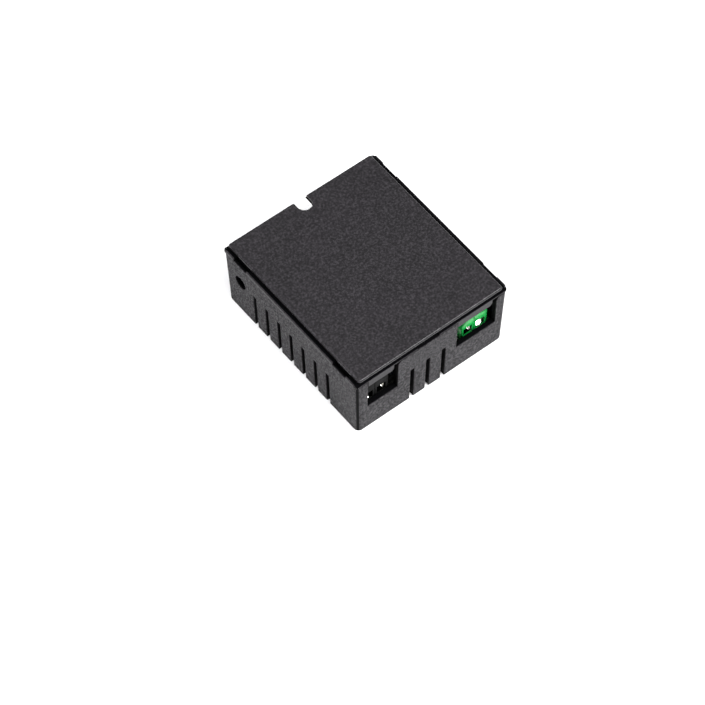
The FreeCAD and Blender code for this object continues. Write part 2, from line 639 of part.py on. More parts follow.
# ---------------------------------------------------------------------------
# Screw terminals
# ---------------------------------------------------------------------------
def terminal_housing(ways, middle):
    half = ways * PITCH / 2 + TERM_SIDE
    y0 = BOARD_FRONT_Y
    y1 = y0 + TERM_DEEP
    zb = BOARD_TOP_Z
    zt = zb + TERM_HIGH
    c = TERM_EDGE
    outline = [(middle - half, y0, zb), (middle - half, y1, zb), (middle - half, y1, zt - TERM_BACK_DROP),
               (middle - half, y1 - TERM_BACK_IN, zt), (middle - half, y0 + c, zt), (middle - half, y0, zt - c)]
    body = prism(outline, 2 * half, V(1, 0, 0))
    cuts = []
    for x in way_places(ways, middle):
        cy0 = y0 + TERM_FRONT_WALL
        cuts.append(box(x - CAVITY_HALF, x + CAVITY_HALF, cy0, cy0 + CAVITY_DEEP,
                        zb + CAVITY_FLOOR, zb + CAVITY_TOP))
        cuts.append(box(x - ENTRY_HALF, x + ENTRY_HALF, y0 - 1, cy0 + 0.5, zb + ENTRY_LOW, zb + ENTRY_HIGH))
        cuts.append(rod(x, CAGE_Y, zb + CAVITY_TOP - 0.5, CLAMP_HEAD_R + CLAMP_HEAD_CLEAR, FAR))
        leg = LEG_HALF + CLEAR
        cuts.append(box(x - leg, x + leg, LEG_Y - CLEAR, LEG_Y + CONTACT_THICK + CLEAR, zb - 1, zb + 2))
    for i in range(ways - 1):
        x = way_places(ways, middle)[i] + PITCH / 2
        w = WAY_GROOVE / 2
        cuts.append(box(x - w, x + w, y0 - 1, y0 + WAY_GROOVE_DEEP, zb + 2 * w, zt + 1))
    return cut_all(body, cuts)


def clamp_screw(x):
    zb = BOARD_TOP_Z
    z_head = zb + CAGE_HIGH + CAGE_TRAVEL + CAGE_HEAD_GAP
    head = rod(x, CAGE_Y, z_head, CLAMP_HEAD_R, CLAMP_HEAD_H)
    tip = zb + CONTACT_Z + CONTACT_THICK + TIP_GAP
    shank = rod(x, CAGE_Y, tip, CLAMP_SCREW_R, z_head - tip)
    half = DRIVER_SLOT / 2
    z_slot = z_head + CLAMP_HEAD_H - DRIVER_SLOT_DEEP
    slot = box(x - PITCH, x + PITCH, CAGE_Y - half, CAGE_Y + half, z_slot, FAR)
    return head.fuse(shank).cut(slot).removeSplitter()


def clamp_cage(x):
    zb = BOARD_TOP_Z
    y0 = CAGE_Y - CAGE_LONG / 2
    y1 = CAGE_Y + CAGE_LONG / 2
    body = box(x - CAGE_HALF, x + CAGE_HALF, y0, y1, zb + CAGE_LOW, zb + CAGE_HIGH)
    inner = CAGE_HALF - CAGE_WALL
    z_jaw = zb + CAGE_LOW + CAGE_JAW
    window = box(x - inner, x + inner, y0 - 1, y1 + 1, z_jaw, zb + CAGE_HIGH - CAGE_ROOF)
    slope = [(x - inner, y0, z_jaw - CAGE_LEAD_IN), (x - inner, y0 + CAGE_LEAD_IN, z_jaw), (x - inner, y0, z_jaw)]
    lead_in = prism(slope, 2 * inner, V(1, 0, 0))
    thread = rod(x, CAGE_Y, z_jaw, CLAMP_SCREW_R + THREAD_CLEAR, CAGE_HIGH)
    return cut_all(body, [window, lead_in, thread])


def terminal_contacts(ways, middle):
    made = []
    zb = BOARD_TOP_Z
    for x in way_places(ways, middle):
        bar = box(x - CONTACT_HALF, x + CONTACT_HALF, CAGE_Y - CAGE_LONG / 2 + CAGE_GAP, LEG_Y + CONTACT_THICK,
                  zb + CONTACT_Z, zb + CONTACT_Z + CONTACT_THICK)
        leg = box(x - LEG_HALF, x + LEG_HALF, LEG_Y, LEG_Y + CONTACT_THICK,
                  BOARD_BOTTOM_Z - LEG_BELOW, zb + CONTACT_Z + CONTACT_THICK)
        made.append(bar.fuse(leg).removeSplitter())
    return made


# ---------------------------------------------------------------------------
# Push switch on the carrier board
# ---------------------------------------------------------------------------
SWITCH_X0 = SWITCH_WALL_GAP + WALL - wall_x(BUTTON_Z)
SWITCH_X1 = SWITCH_X0 + SWITCH_THICK
BUTTON_TIP_X = BUTTON_WALL_GAP + WALL - wall_x(BUTTON_Z)


def push_switch():
    y0 = CARRIER_BACK
    y1 = BUTTON_Y + SWITCH_HALF_Y
    body = box(SWITCH_X0, SWITCH_X1, y0, y1, BUTTON_Z - SWITCH_HALF_Z, BUTTON_Z + SWITCH_HALF_Z)
    deep = BUTTON_SUNK + BUTTON_TRAVEL + BUTTON_CLEAR
    well = rod(SWITCH_X0 - 1, BUTTON_Y, BUTTON_Z, BUTTON_R + BUTTON_CLEAR, deep + 1, V(1, 0, 0))
    return body.cut(well)


def push_button():
    long = SWITCH_X0 + BUTTON_SUNK - BUTTON_TIP_X
    return rod(BUTTON_TIP_X, BUTTON_Y, BUTTON_Z, BUTTON_R, long, V(1, 0, 0))


# ---------------------------------------------------------------------------
# Parts that stand on the main board.  Their y is taken from its front edge.
# ---------------------------------------------------------------------------
def board_y(y):
    return BOARD_FRONT_Y + y


def on_board(x, y, wide, deep, high, lift=0.0):
    z = BOARD_TOP_Z + lift
    y0 = board_y(y) - deep / 2
    return box(x - wide / 2, x + wide / 2, y0, y0 + deep, z, z + high)


def upright_edges(block, high):
    return [e for e in block.Edges if e.BoundBox.ZLength > high - 0.01]


def top_edges(block):
    top = block.BoundBox.ZMax
    return [e for e in block.Edges if e.BoundBox.ZMin > top - 0.01]


LEAD_THICK = 0.15
LEAD_KNEE = 0.4              # from the chip side to the lead's upright part
LEAD_REACH = 1.1             # from the chip side to the lead's tip
CHIP_LIFT = 0.1
CHIP_CHAMFER = 0.2
CONTROLLER = (2.0, 21.5, 7.0, 1.4)        # x, y, side, height
CONTROLLER_LEADS = (8, 0.8, 0.35)         # per side, pitch, width
AMPLIFIER = (13.5, 26.5, 8.7, 3.9, 1.5)   # x, y, length, width, height
AMPLIFIER_LEADS = (7, 1.27, 0.42)


def gull_lead(x, y, dx, dy, wide, body_z):
    """Lead that leaves a chip outwards along (dx, dy) and steps down to the board."""
    z = BOARD_TOP_Z
    t = LEAD_THICK
    far = LEAD_KNEE + t
    runs = [(0, far, body_z, body_z + t), (LEAD_KNEE, far, 0.0, body_z + t), (LEAD_KNEE, LEAD_REACH, 0.0, t)]
    pieces = []
    for near, far, low, high in runs:
        xs = sorted((x + dx * near, x + dx * far)) if dx else (x - wide / 2, x + wide / 2)
        ys = sorted((y + dy * near, y + dy * far)) if dy else (y - wide / 2, y + wide / 2)
        pieces.append(box(xs[0], xs[1], ys[0], ys[1], z + low, z + high))
    return pieces[0].fuse(pieces[1:]).removeSplitter()


def controller_leads():
    x0, y0, side, high = CONTROLLER
    count, pitch, wide = CONTROLLER_LEADS
    reach = side / 2
    y0 = board_y(y0)
    made = []
    for off in slot_positions(count, pitch):
        made.append(gull_lead(x0 + off, y0 + reach, 0, 1, wide, high / 2))
        made.append(gull_lead(x0 + off, y0 - reach, 0, -1, wide, high / 2))
        made.append(gull_lead(x0 + reach, y0 + off, 1, 0, wide, high / 2))
        made.append(gull_lead(x0 - reach, y0 + off, -1, 0, wide, high / 2))
    return made


def amplifier_leads():
    x0, y0, long, deep, high = AMPLIFIER
    count, pitch, wide = AMPLIFIER_LEADS
    y0 = board_y(y0)
    made = []
    for off in slot_positions(count, pitch):
        made.append(gull_lead(x0 + off, y0 + deep / 2, 0, 1, wide, high / 2))
        made.append(gull_lead(x0 + off, y0 - deep / 2, 0, -1, wide, high / 2))
    return made


def chip_body(x, y, wide, deep, high):
    body = on_board(x, y, wide, deep, high, CHIP_LIFT)
    return body.makeChamfer(CHIP_CHAMFER, top_edges(body))


CRYSTAL = (-10.5, 24.5, 4.6, 11.2, 3.5)   # x, y, width, length, height
CRYSTAL_END_R = 2.25
CRYSTAL_EDGE_R = 0.5


def crystal_can():
    x, y, wide, long, high = CRYSTAL
    body = on_board(x, y, wide, long, high)
    body = body.makeFillet(CRYSTAL_END_R, upright_edges(body, high))
    return body.makeFillet(CRYSTAL_EDGE_R, top_edges(body))


TRANSFORMER = (-17.0, 34.0, 7.2, 8.4)     # x, y, side, height
TRANSFORMER_WALL = 0.3
TRANSFORMER_BASE_THICK = 1.0
TRANSFORMER_BASE_GAP = 0.1
TRANSFORMER_EDGE_R = 0.6
TRANSFORMER_HOLE_R = 2.2
BOBBIN_R = 2.9
SLUG_R = 1.9
SLUG_ABOVE = 1.1                          # slug over the bobbin
SLUG_SUNK = 0.3                           # slug under the can's top
SLUG_SLOT = (2.8, 0.6, 0.7)               # length, width, depth


def transformer_base():
    x, y, side, high = TRANSFORMER
    wide = side - 2 * (TRANSFORMER_WALL + TRANSFORMER_BASE_GAP)
    return on_board(x, y, wide, wide, TRANSFORMER_BASE_THICK)


def transformer_can():
    x, y, side, high = TRANSFORMER
    shell = on_board(x, y, side, side, high)
    shell = shell.makeFillet(TRANSFORMER_EDGE_R, upright_edges(shell, high))
    inner = side - 2 * TRANSFORMER_WALL
    hollow = on_board(x, y, inner, inner, high - TRANSFORMER_WALL)
    return shell.cut(hollow).cut(rod(x, board_y(y), BOARD_TOP_Z, TRANSFORMER_HOLE_R, FAR))


def transformer_core():
    x, y, side, high = TRANSFORMER
    z = BOARD_TOP_Z + TRANSFORMER_BASE_THICK
    top = BOARD_TOP_Z + high - SLUG_SUNK
    bobbin = rod(x, board_y(y), z, BOBBIN_R, top - SLUG_ABOVE - z)
    slug = rod(x, board_y(y), z, SLUG_R, top - z)
    long, wide, deep = SLUG_SLOT
    slot = on_board(x, y, long, wide, deep, high - SLUG_SUNK - deep)
    return bobbin.fuse(slug).cut(slot).removeSplitter()


CAPACITORS = [("input_capacitor", -9.0, 7.0, 4.0, 11.0), ("reservoir_capacitor", 1.5, 6.5, 3.15, 7.7)]
CAPACITOR_EDGE_R = 0.5
CAPACITOR_GROOVE = (1.2, 0.5, 0.25)       # height over the board, width, depth


def capacitor(x, y, r, high):
    z = BOARD_TOP_Z
    y = board_y(y)
    body = rod(x, y, z, r, high)
    ends = [e for e in body.Edges if e.BoundBox.ZLength < 0.01]
    body = body.makeFillet(CAPACITOR_EDGE_R, ends)
    lift, wide, deep = CAPACITOR_GROOVE
    return body.cut(rod(x, y, z + lift, r + 1, wide).cut(rod(x, y, z + lift, r - deep, wide)))


REGULATOR = (-14.5, 15.5, 6.5, 3.5, 1.6)  # x, y, width, depth, height
REGULATOR_LEG_X = [-2.3, 0.0, 2.3]
REGULATOR_LEG_WIDTH = 0.7
REGULATOR_TAG_WIDTH = 3.0
DIODE = (-20.0, 18.5, 2.6, 4.2, 2.1)
DIODE_LEG_WIDTH = 1.5
TAG_THICK = 0.3
TAG_LONG = 1.6                            # tag or leg beyond the body


def flat_tag(x, y, wide, deep, side):
    """Leg from inside a body out past its side face (+1 back, -1 front)."""
    mid = y + side * (deep / 2 + TAG_LONG / 2 - CHIP_CHAMFER)
    return on_board(x, mid, wide, TAG_LONG + 2 * CHIP_CHAMFER, TAG_THICK)


def regulator():
    x, y, wide, deep, high = REGULATOR
    tags = [flat_tag(x, y, REGULATOR_TAG_WIDTH, deep, 1)]
    tags += [flat_tag(x + dx, y, REGULATOR_LEG_WIDTH, deep, -1) for dx in REGULATOR_LEG_X]
    return chip_body(x, y, wide, deep, high).fuse(tags).removeSplitter()


def diode():
    x, y, wide, deep, high = DIODE
    tags = [flat_tag(x, y, DIODE_LEG_WIDTH, deep, side) for side in (-1, 1)]
    return chip_body(x, y, wide, deep, high).fuse(tags).removeSplitter()


TRIMMER = (17.5, 37.5, 6.8, 4.8)          # x, y, side, height
ROTOR_R = 2.3
ROTOR_HIGH = 1.6
ROTOR_CLEAR = 0.08
ROTOR_SUNK = 1.35                         # rotor below the body's top
ROTOR_SLOT = (3.4, 0.7, 0.8)              # length, width, depth


def trimmer_body():
    x, y, side, high = TRIMMER
    body = on_board(x, y, side, side, high)
    z = BOARD_TOP_Z + high - ROTOR_SUNK - CLEAR
    return body.cut(rod(x, board_y(y), z, ROTOR_R + ROTOR_CLEAR, FAR))


def trimmer_rotor():
    x, y, side, high = TRIMMER
    foot = high - ROTOR_SUNK
    knob = rod(x, board_y(y), BOARD_TOP_Z + foot, ROTOR_R, ROTOR_HIGH)
    long, wide, deep = ROTOR_SLOT
    return knob.cut(on_board(x, y, long, wide, FAR, foot + ROTOR_HIGH - deep))


CHIP_SIZE = (1.25, 2.0)
CHIP_CAPACITOR_HIGH = 1.0
CHIP_RESISTOR_HIGH = 0.5
CHIP_CAPACITOR_PLACES = [(-4.5, 16.5), (-4.5, 27.5), (8.5, 17.0), (8.5, 20.5), (4.0, 33.0), (6.5, 37.0),
                         (-4.0, 37.0), (-8.5, 40.0)]
CHIP_RESISTOR_PLACES = [(-2.0, 33.0), (1.0, 33.0), (0.0, 37.0), (3.0, 37.0), (10.0, 33.5), (12.0, 38.5),
                        (12.0, 42.0), (19.5, 18.5), (22.5, 18.5), (-8.5, 35.0)]


def chip_parts(places, high):
    return [on_board(x, y, CHIP_SIZE[0], CHIP_SIZE[1], high) for x, y in places]


LIGHT_GAP = 2.0                           # middle of the lamp to the signal terminal
LIGHT_Y = 2.2
LIGHT_R = 1.5
LIGHT_RIM = 0.25                          # foot ring beyond the dome
LIGHT_RIM_HIGH = 1.0
LIGHT_HIGH = 4.0


def status_light():
    """Round lamp in the signal window, left of its terminal."""
    name, ways, middle = terminals()[1]
    x = middle - ways * PITCH / 2 - TERM_SIDE - LIGHT_GAP
    y = board_y(LIGHT_Y)
    body = rod(x, y, BOARD_TOP_Z, LIGHT_R, LIGHT_HIGH - LIGHT_R)
    dome = Part.makeSphere(LIGHT_R, V(x, y, BOARD_TOP_Z + LIGHT_HIGH - LIGHT_R))
    foot = rod(x, y, BOARD_TOP_Z, LIGHT_R + LIGHT_RIM, LIGHT_RIM_HIGH)
    return body.fuse([dome, foot]).removeSplitter()


# ---------------------------------------------------------------------------
# Write every node
# ---------------------------------------------------------------------------
def main():
    os.makedirs("parts", exist_ok=True)
    save("base_shell", base_shell())
    save("lid", lid())
    save("main_board", main_board())
    save("board_screws", *board_screws())
    save("carrier_board", carrier_board())
    save("header_block", header_block())
    save("header_pins", *header_pins())
    for name, x in (("transmitter", -SENSOR_X), ("receiver", SENSOR_X)):
        save(name + "_can", shifted(sensor_can(), x))
        save(name + "_mesh", shifted(sensor_mesh(), x))
        save(name + "_cone", shifted(sensor_cone(), x))
        save(name + "_base", shifted(sensor_base(), x))
        save(name + "_pins", *[shifted(pin, x) for pin in sensor_pins()])
        save(name + "_grommet", shifted(sensor_grommet(), x))
    for name, ways, middle in terminals():
        save(name + "_terminal_housing", terminal_housing(ways, middle))
        save(name + "_terminal_contacts", *terminal_contacts(ways, middle))
        for i, x in enumerate(way_places(ways, middle)):
            save("%s_clamp_screw_%d" % (name, i + 1), clamp_screw(x))
            save("%s_clamp_cage_%d" % (name, i + 1), clamp_cage(x))
    save("push_switch", push_switch())
    save("push_button", push_button())
    x, y, side, high = CONTROLLER
    save("controller_chip", chip_body(x, y, side, side, high))
    save("controller_leads", *controller_leads())
    x, y, long, wide, high = AMPLIFIER
    save("amplifier_chip", chip_body(x, y, long, wide, high))
    save("amplifier_leads", *amplifier_leads())
    save("crystal_can", crystal_can())
    save("transformer_base", transformer_base())
    save("transformer_can", transformer_can())
    save("transformer_core", transformer_core())
    for name, x, y, r, high in CAPACITORS:
        save(name, capacitor(x, y, r, high))
    save("regulator", regulator())
    save("diode", diode())
    save("chip_capacitors", *chip_parts(CHIP_CAPACITOR_PLACES, CHIP_CAPACITOR_HIGH))
    save("chip_resistors", *chip_parts(CHIP_RESISTOR_PLACES, CHIP_RESISTOR_HIGH))
    save("status_light", status_light())
    save("trimmer_body", trimmer_body())
    save("trimmer_rotor", trimmer_rotor())


main()
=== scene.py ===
import json
import math

import bmesh
import bpy
from mathutils import Matrix, Vector


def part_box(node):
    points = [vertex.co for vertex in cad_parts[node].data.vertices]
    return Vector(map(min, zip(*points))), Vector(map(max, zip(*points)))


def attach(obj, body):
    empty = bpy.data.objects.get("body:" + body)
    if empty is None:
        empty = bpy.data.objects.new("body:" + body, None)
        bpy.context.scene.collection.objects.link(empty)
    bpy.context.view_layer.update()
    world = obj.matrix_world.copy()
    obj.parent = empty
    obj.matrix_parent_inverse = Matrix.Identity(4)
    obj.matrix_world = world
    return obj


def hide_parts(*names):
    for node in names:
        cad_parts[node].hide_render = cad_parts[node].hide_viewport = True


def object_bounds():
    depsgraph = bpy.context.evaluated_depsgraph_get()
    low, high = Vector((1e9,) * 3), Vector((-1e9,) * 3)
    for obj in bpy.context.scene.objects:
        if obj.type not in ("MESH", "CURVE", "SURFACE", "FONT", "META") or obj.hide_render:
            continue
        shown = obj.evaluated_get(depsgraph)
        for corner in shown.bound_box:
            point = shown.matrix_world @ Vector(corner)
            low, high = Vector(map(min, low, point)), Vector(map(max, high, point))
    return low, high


# Boxed ultrasonic distance sensor: looks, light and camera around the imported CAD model.
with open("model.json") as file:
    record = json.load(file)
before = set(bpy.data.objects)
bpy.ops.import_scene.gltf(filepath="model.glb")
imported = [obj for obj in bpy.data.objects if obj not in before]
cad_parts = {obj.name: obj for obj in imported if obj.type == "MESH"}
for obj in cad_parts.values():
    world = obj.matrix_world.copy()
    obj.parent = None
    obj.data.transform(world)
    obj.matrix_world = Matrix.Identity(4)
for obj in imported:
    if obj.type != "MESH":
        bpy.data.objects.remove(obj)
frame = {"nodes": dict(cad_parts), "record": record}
CAD_LOW, CAD_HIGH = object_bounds()

MM = 0.001
MERGE = 0.001 * MM               # corners of a CAD mesh closer than this are one corner


# ---------------------------------------------------------------------------
# Colour, nodes and materials
# ---------------------------------------------------------------------------
def colour(hex_code):
    """sRGB hex to linear RGBA."""
    out = []
    for i in (1, 3, 5):
        c = int(hex_code[i:i + 2], 16) / 255
        out.append(c / 12.92 if c <= 0.04045 else ((c + 0.055) / 1.055) ** 2.4)
    return (*out, 1.0)


def node(tree, kind, inputs=None, stops=None, **properties):
    """Adds a node. An input takes a node's first output, a socket or a value; stops fill a colour ramp."""
    made = tree.nodes.new(kind)
    for key, value in properties.items():
        setattr(made, key, value)
    marks = made.color_ramp.elements if stops else []
    while len(marks) < len(stops or []):
        marks.new(0.5)
    for mark, (place, code) in zip(marks, stops or []):
        mark.position, mark.color = place, colour(code)
    for key, value in (inputs or {}).items():
        if isinstance(value, bpy.types.Node):
            value = value.outputs[0]
        if isinstance(value, bpy.types.NodeSocket):
            tree.links.new(value, made.inputs[key])
        else:
            made.inputs[key].default_value = value
    return made


def new_material(name):
    """Empty material, its node tree, and the place on the object in metres."""
    mat = bpy.data.materials.new(name)
    mat.use_nodes = True
    mat.node_tree.nodes.clear()
    return mat, mat.node_tree, node(mat.node_tree, "ShaderNodeTexCoord").outputs["Object"]


def close(mat, sockets):
    """Ends a material with its shader."""
    shader = node(mat.node_tree, "ShaderNodeBsdfPrincipled", sockets)
    node(mat.node_tree, "ShaderNodeOutputMaterial", {"Surface": shader})
    return mat


def moulded(name, dark, light, rough, ior=1.53, drift_mm=1.5, skin_mm=0.2, relief_mm=0.004):
    """Moulded plastic or rubber: a skin of fine grain, and a colour and gloss that drift with the flow."""
    mat, tree, where = new_material(name)
    drift = node(tree, "ShaderNodeTexNoise", {"Vector": where, "Scale": 1 / (drift_mm * MM), "Detail": 4.0})
    skin = node(tree, "ShaderNodeTexNoise", {"Vector": where, "Scale": 1 / (skin_mm * MM), "Detail": 2.0})
    tone = node(tree, "ShaderNodeValToRGB", {"Fac": drift}, [(0.3, dark), (0.7, light)])
    gloss = node(tree, "ShaderNodeMapRange", {"Value": drift, "From Min": 0.25, "From Max": 0.75,
                                              "To Min": rough[0], "To Max": rough[1]})
    relief = node(tree, "ShaderNodeBump", {"Height": skin, "Strength": 0.6, "Distance": relief_mm * MM})
    return close(mat, {"Base Color": tone, "Roughness": gloss, "Normal": relief, "IOR": ior})


def plated(name, dark, light, rough, streak=(1, 1, 1), streak_mm=0.3, cloud_mm=1.2, relief_mm=0.003):
    """Plated or bare metal: clouds in the plate, and streaks left by rolling or drawing."""
    mat, tree, where = new_material(name)
    stretched = node(tree, "ShaderNodeMapping", {"Vector": where, "Scale": streak})
    cloud = node(tree, "ShaderNodeTexNoise", {"Vector": where, "Scale": 1 / (cloud_mm * MM), "Detail": 3.0})
    lines = node(tree, "ShaderNodeTexNoise",
                 {"Vector": stretched, "Scale": 1 / (streak_mm * MM), "Detail": 3.0})
    tone = node(tree, "ShaderNodeValToRGB", {"Fac": cloud}, [(0.3, dark), (0.7, light)])
    gloss = node(tree, "ShaderNodeMapRange", {"Value": lines, "From Min": 0.3, "From Max": 0.7,
                                              "To Min": rough[0], "To Max": rough[1]})
    relief = node(tree, "ShaderNodeBump", {"Height": lines, "Strength": 0.5, "Distance": relief_mm * MM})
    return close(mat, {"Base Color": tone, "Roughness": gloss, "Normal": relief, "Metallic": 1.0})


# The case walls lean in below the rim by DRAFT for each unit of drop
DRAFT = 0.028
RIM = 25.4 * MM
FLANGE_TOP = RIM + 1.32 * MM     # above it, every face of the lid is an outer one
FOOT_FACE = 0.05 * MM            # below it lies only the underside
# Skin ends just inside the outer faces; the lid's rolled edge begins where its flat top ends
SKIN_HALF = (CAD_HIGH[0] - 0.55 * MM, CAD_HIGH[1] - 0.28 * MM)
ROLL_HALF = (CAD_HIGH[0] - 2.35 * MM, CAD_HIGH[1] - 1.45 * MM)
ROLL_FADE = 0.3 * MM
PEBBLE = 0.7 * MM                # drawn size of the tool's pebbles
DUST = 2.6 * MM                  # patches of fine dust
FLOW = 14 * MM                   # slow change of tone as the plastic filled the tool


def spark_textured_abs(name, face_rough, edge_rough, relief_mm):
    """Black ABS out of a spark-eroded tool: an even pebble outside, plain and dull inside, with painted
    shade on every inner face: near-black colour and no reflection.

    The pebbles of the real tool are about 0.15 mm; they are drawn coarser, at PEBBLE, so that they show.
    """
    mat, tree, where = new_material(name)
    pebbles = node(tree, "ShaderNodeTexNoise",
                   {"Vector": where, "Scale": 1 / PEBBLE, "Detail": 3.0, "Roughness": 0.65})
    flow = node(tree, "ShaderNodeTexNoise", {"Vector": where, "Scale": 1 / FLOW, "Detail": 3.0})
    dust = node(tree, "ShaderNodeTexNoise",
                {"Vector": where, "Scale": 1 / DUST, "Detail": 6.0, "Roughness": 0.75})
    speck = node(tree, "ShaderNodeValToRGB", {"Fac": pebbles},
                 [(0.36, "#111011"), (0.52, "#1C1A1D"), (0.66, "#302D31")])
    cast = node(tree, "ShaderNodeValToRGB", {"Fac": flow}, [(0.3, "#19181A"), (0.7, "#222023")])
    tone = node(tree, "ShaderNodeMix", {0: 0.35, 6: speck, 7: cast}, data_type="RGBA")
    film = node(tree, "ShaderNodeValToRGB", {"Fac": dust}, [(0.62, "#000000"), (0.80, "#161517")])
    dusty = node(tree, "ShaderNodeMix", {0: 0.25, 6: tone.outputs[2], 7: film},
                 data_type="RGBA", blend_type="ADD")
    # outside is 1 on the outer faces and 0 on the inner ones
    axes = node(tree, "ShaderNodeSeparateXYZ", {"Vector": where})
    drop = node(tree, "ShaderNodeMath", {0: RIM, 1: axes.outputs[2]}, operation="SUBTRACT")
    walls = []
    rolls = []
    for axis, skin_half, roll_half in zip((0, 1), SKIN_HALF, ROLL_HALF):
        away = node(tree, "ShaderNodeMath", {0: axes.outputs[axis]}, operation="ABSOLUTE")
        upright = node(tree, "ShaderNodeMath", {0: drop, 1: DRAFT, 2: away}, operation="MULTIPLY_ADD")
        walls.append(node(tree, "ShaderNodeMath", {0: upright, 1: skin_half}, operation="GREATER_THAN"))
        rolls.append(node(tree, "ShaderNodeMapRange",
                          {"Value": away, "From Min": roll_half, "From Max": roll_half + ROLL_FADE}))
    top = node(tree, "ShaderNodeMath", {0: axes.outputs[2], 1: FLANGE_TOP}, operation="GREATER_THAN")
    foot = node(tree, "ShaderNodeMath", {0: axes.outputs[2], 1: FOOT_FACE}, operation="LESS_THAN")
    outside = walls[0]
    for other in (walls[1], top, foot):
        outside = node(tree, "ShaderNodeMath", {0: outside, 1: other}, operation="MAXIMUM")
    # painted shade: every face inside the skin (inner walls, window and slot reveals, the groove round the
    # lid's plate) is near-black #060607
    skin = node(tree, "ShaderNodeMix", {0: outside, 6: colour("#060607"), 7: dusty.outputs[2]},
                data_type="RGBA")
    # the lid's rolled edge is rubbed smooth
    reach = node(tree, "ShaderNodeMath", {0: rolls[0], 1: rolls[1]}, operation="MAXIMUM")
    roll = node(tree, "ShaderNodeMath", {0: reach, 1: top}, operation="MULTIPLY")
    dull = node(tree, "ShaderNodeMapRange", {"Value": pebbles, "From Min": 0.38, "From Max": 0.62,
                                             "To Min": face_rough[0], "To Max": face_rough[1]})
    rubbed = node(tree, "ShaderNodeMix", {0: roll, 2: dull, 3: edge_rough})
    gloss = node(tree, "ShaderNodeMix", {0: outside, 2: 0.9, 3: rubbed})
    depth = node(tree, "ShaderNodeMapRange", {"Value": roll, "To Min": 0.8, "To Max": 0.05})
    relief = node(tree, "ShaderNodeBump",
                  {"Height": pebbles, "Strength": depth, "Distance": relief_mm * MM})
    # inner faces also get a black specular tint, painted shade that takes out their reflection; outside,
    # the tint follows the pebbles
    glint = node(tree, "ShaderNodeValToRGB", {"Fac": pebbles}, [(0.36, "#C4C4C4"), (0.64, "#FFFFFF")])
    glint_and_painted_shade_tint = node(tree, "ShaderNodeMix", {0: outside, 6: colour("#000000"), 7: glint}, data_type="RGBA")
    return close(mat, {"Base Color": skin.outputs[2], "Roughness": gloss, "Normal": relief, "IOR": 1.36,
                       "Specular Tint": glint_and_painted_shade_tint.outputs[2]})


WEAVE = 0.4 * MM                 # threads of a fine glass cloth


def solder_mask(name, track_mm):
    """Black mask on glass-epoxy: copper tracks stand as paler lines, with the glass weave just showing."""
    mat, tree, where = new_material(name)
    tracks = node(tree, "ShaderNodeTexBrick",
                  {"Vector": where, "Color1": colour("#000000"), "Color2": colour("#000000"),
                   "Mortar": colour("#FFFFFF"), "Scale": 1 / (track_mm * MM), "Mortar Size": 0.07,
                   "Mortar Smooth": 0.15, "Bias": 0.0, "Brick Width": 1.7, "Row Height": 0.55})
    weave = node(tree, "ShaderNodeTexChecker", {"Vector": where, "Scale": 1 / WEAVE})
    blotch = node(tree, "ShaderNodeTexNoise", {"Vector": where, "Scale": 1 / (3 * MM), "Detail": 3.0})
    mask = node(tree, "ShaderNodeValToRGB", {"Fac": blotch}, [(0.3, "#0B0C0B"), (0.7, "#121412")])
    copper = node(tree, "ShaderNodeMix", {0: tracks, 6: mask, 7: colour("#2B2A26")}, data_type="RGBA")
    height = node(tree, "ShaderNodeMath", {0: weave, 1: 0.12, 2: tracks}, operation="MULTIPLY_ADD")
    relief = node(tree, "ShaderNodeBump", {"Height": height, "Strength": 0.5, "Distance": 0.035 * MM})
    gloss = node(tree, "ShaderNodeMapRange", {"Value": blotch, "To Min": 0.26, "To Max": 0.4})
    return close(mat, {"Base Color": copper.outputs[2], "Roughness": gloss, "Normal": relief, "IOR": 1.5})


STRIPE_FROM = 0.88               # stripe's edge, as a share of the radius from the middle


def shrunk_sleeve(name, centre, radius):
    """Shrunk vinyl sleeve on a capacitor, near-black, with the pale stripe that marks its negative side."""
    mat, tree, where = new_material(name)
    axes = node(tree, "ShaderNodeSeparateXYZ", {"Vector": where})
    edge = node(tree, "ShaderNodeMath", {0: axes.outputs[1], 1: centre[1] + STRIPE_FROM * radius},
                operation="GREATER_THAN")
    wrinkle = node(tree, "ShaderNodeTexNoise", {"Vector": where, "Scale": 1 / (1.8 * MM), "Detail": 3.0})
    body = node(tree, "ShaderNodeValToRGB", {"Fac": wrinkle}, [(0.3, "#10121A"), (0.7, "#161925")])
    printed = node(tree, "ShaderNodeMix", {0: edge, 6: body, 7: colour("#A9ADB4")}, data_type="RGBA")
    gloss = node(tree, "ShaderNodeMapRange", {"Value": wrinkle, "To Min": 0.18, "To Max": 0.34})
    relief = node(tree, "ShaderNodeBump", {"Height": wrinkle, "Strength": 0.4, "Distance": 0.02 * MM})
    return close(mat, {"Base Color": printed.outputs[2], "Roughness": gloss, "Normal": relief, "IOR": 1.53})


def middle(name):
    low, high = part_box(name)
    return (Vector(low) + Vector(high)) / 2


def half_width(name):
    low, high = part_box(name)
    return (high[0] - low[0]) / 2


# Spark-eroded ABS: dull black with a fine even sparkle; the lid's rolled edges shine a little more
case_abs = spark_textured_abs("black_abs_spark_textured", (0.80, 0.50), 0.40, 0.16)
lid_abs = spark_textured_abs("black_abs_lid_rubbed_edges", (0.46, 0.62), 0.20, 0.10)
# Solder mask over glass-epoxy laminate: black, half gloss, tracks showing as lighter lines
board_mask = solder_mask("black_solder_mask_fr4", 2.4)
# Zinc-plated steel: cool grey with a slight drag
zinc = plated("zinc_plated_steel", "#B9BCC0", "#CACCCE", (0.28, 0.42))
# Nickel plate: warmer and smoother than zinc
nickel = plated("nickel_plated_steel", "#C6C2B8", "#D8D4CA", (0.18, 0.30))
# Bright tin over brass strip, bent into clamps
tin_clamp = plated("bright_tinned_brass", "#E2E0DA", "#F4F3EF", (0.16, 0.26))
# Matte tin on copper legs
tin_lead = plated("matte_tinned_copper", "#BDBBB4", "#CFCDC8", (0.30, 0.42), streak_mm=0.15)
